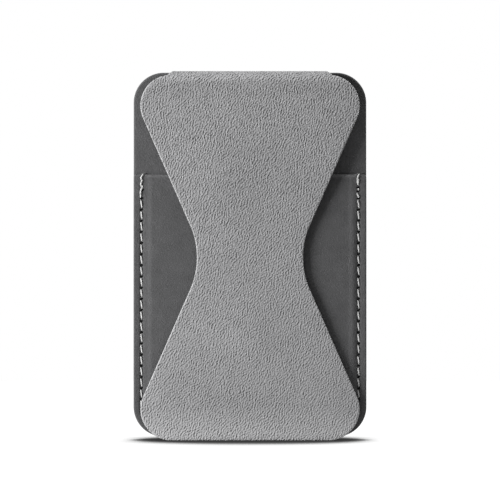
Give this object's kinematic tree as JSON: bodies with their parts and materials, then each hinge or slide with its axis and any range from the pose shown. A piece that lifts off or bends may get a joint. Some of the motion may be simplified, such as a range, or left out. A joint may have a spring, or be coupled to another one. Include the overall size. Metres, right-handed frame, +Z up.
{
  "type": "magnetic phone card holder",
  "caption": "Slim leather card holder that clings to the back of a phone by a magnet ring, with an hourglass front flap that folds out as a stand.",
  "frame": {"origin": "centre of the magnet ring, on the back face that lies on the phone", "axes": "+Y out of the back face into the phone, +Z up to the hinged top edge, +X across the holder; the front and its flap face -Y"},
  "size_m": [0.0644, 0.0069, 0.102],
  "materials": {
    "light_leather": "light grey, fine wrinkled grain, matt",
    "dark_leather": "dark grey, smooth, matt",
    "microfibre": "dark grey suede-like microfibre",
    "fibreboard": "pressed fibre stiffener board",
    "steel": "thin cold-rolled sheet",
    "magnet": "nickel-plated sintered magnet",
    "thread": "pale grey twisted polyester thread"
  },
  "bodies": {
    "body": {"back_skin": "microfibre", "front_skin": "dark_leather", "magnet_board": "fibreboard", "magnet_yoke": "steel", "ring_magnet_01": "magnet", "ring_magnet_02": "magnet", "ring_magnet_03": "magnet", "ring_magnet_04": "magnet", "ring_magnet_05": "magnet", "ring_magnet_06": "magnet", "ring_magnet_07": "magnet", "ring_magnet_08": "magnet", "ring_magnet_09": "magnet", "ring_magnet_10": "magnet", "ring_magnet_11": "magnet", "ring_magnet_12": "magnet", "ring_magnet_13": "magnet", "ring_magnet_14": "magnet", "ring_magnet_15": "magnet", "ring_magnet_16": "magnet", "alignment_magnet": "magnet", "card_shield": "steel", "pocket_welt_left": "dark_leather", "pocket_welt_right": "dark_leather", "pocket_welt_bottom": "dark_leather", "pocket_lining": "microfibre", "pocket_panel": "dark_leather", "closing_strike_plate": "steel", "stand_strike_plate": "steel", "pocket_seam_thread": "thread", "hinge_ledge": "fibreboard", "hinge_strap": "light_leather"},
    "flap_root": {"flap_root_leather": "light_leather", "top_crease_leather": "light_leather"},
    "upper_leaf": {"upper_leaf_leather": "light_leather", "upper_leaf_board": "fibreboard", "upper_leaf_lining": "microfibre", "waist_crease_leather": "light_leather"},
    "lower_leaf": {"lower_leaf_leather": "light_leather", "lower_leaf_board": "fibreboard", "lower_leaf_lining": "microfibre", "flap_magnet_left": "magnet", "flap_magnet_middle": "magnet", "flap_magnet_right": "magnet", "thumb_lip_hem": "light_leather"}
  },
  "joints": [
    {"name": "flap_swing", "type": "hinge", "parent": "body", "child": "flap_root", "pos_m": [0, -0.00582, 0.03232], "axis": [-1, 0, 0], "range_deg": [0, 120], "deforming": ["hinge_strap"]},
    {"name": "stand_fold", "type": "hinge", "parent": "flap_root", "child": "upper_leaf", "pos_m": [0, -0.0066, 0.0277], "axis": [-1, 0, 0], "range_deg": [0, 60], "deforming": ["top_crease_leather"]},
    {"name": "waist_crease", "type": "hinge", "parent": "upper_leaf", "child": "lower_leaf", "pos_m": [0, -0.0066, -0.01815], "axis": [-1, 0, 0], "range_deg": [-114, 0], "deforming": ["waist_crease_leather"]}
  ],
  "couplings": [
    {"joint": "waist_crease", "follows": "stand_fold", "ratio": -1.888}
  ]
}
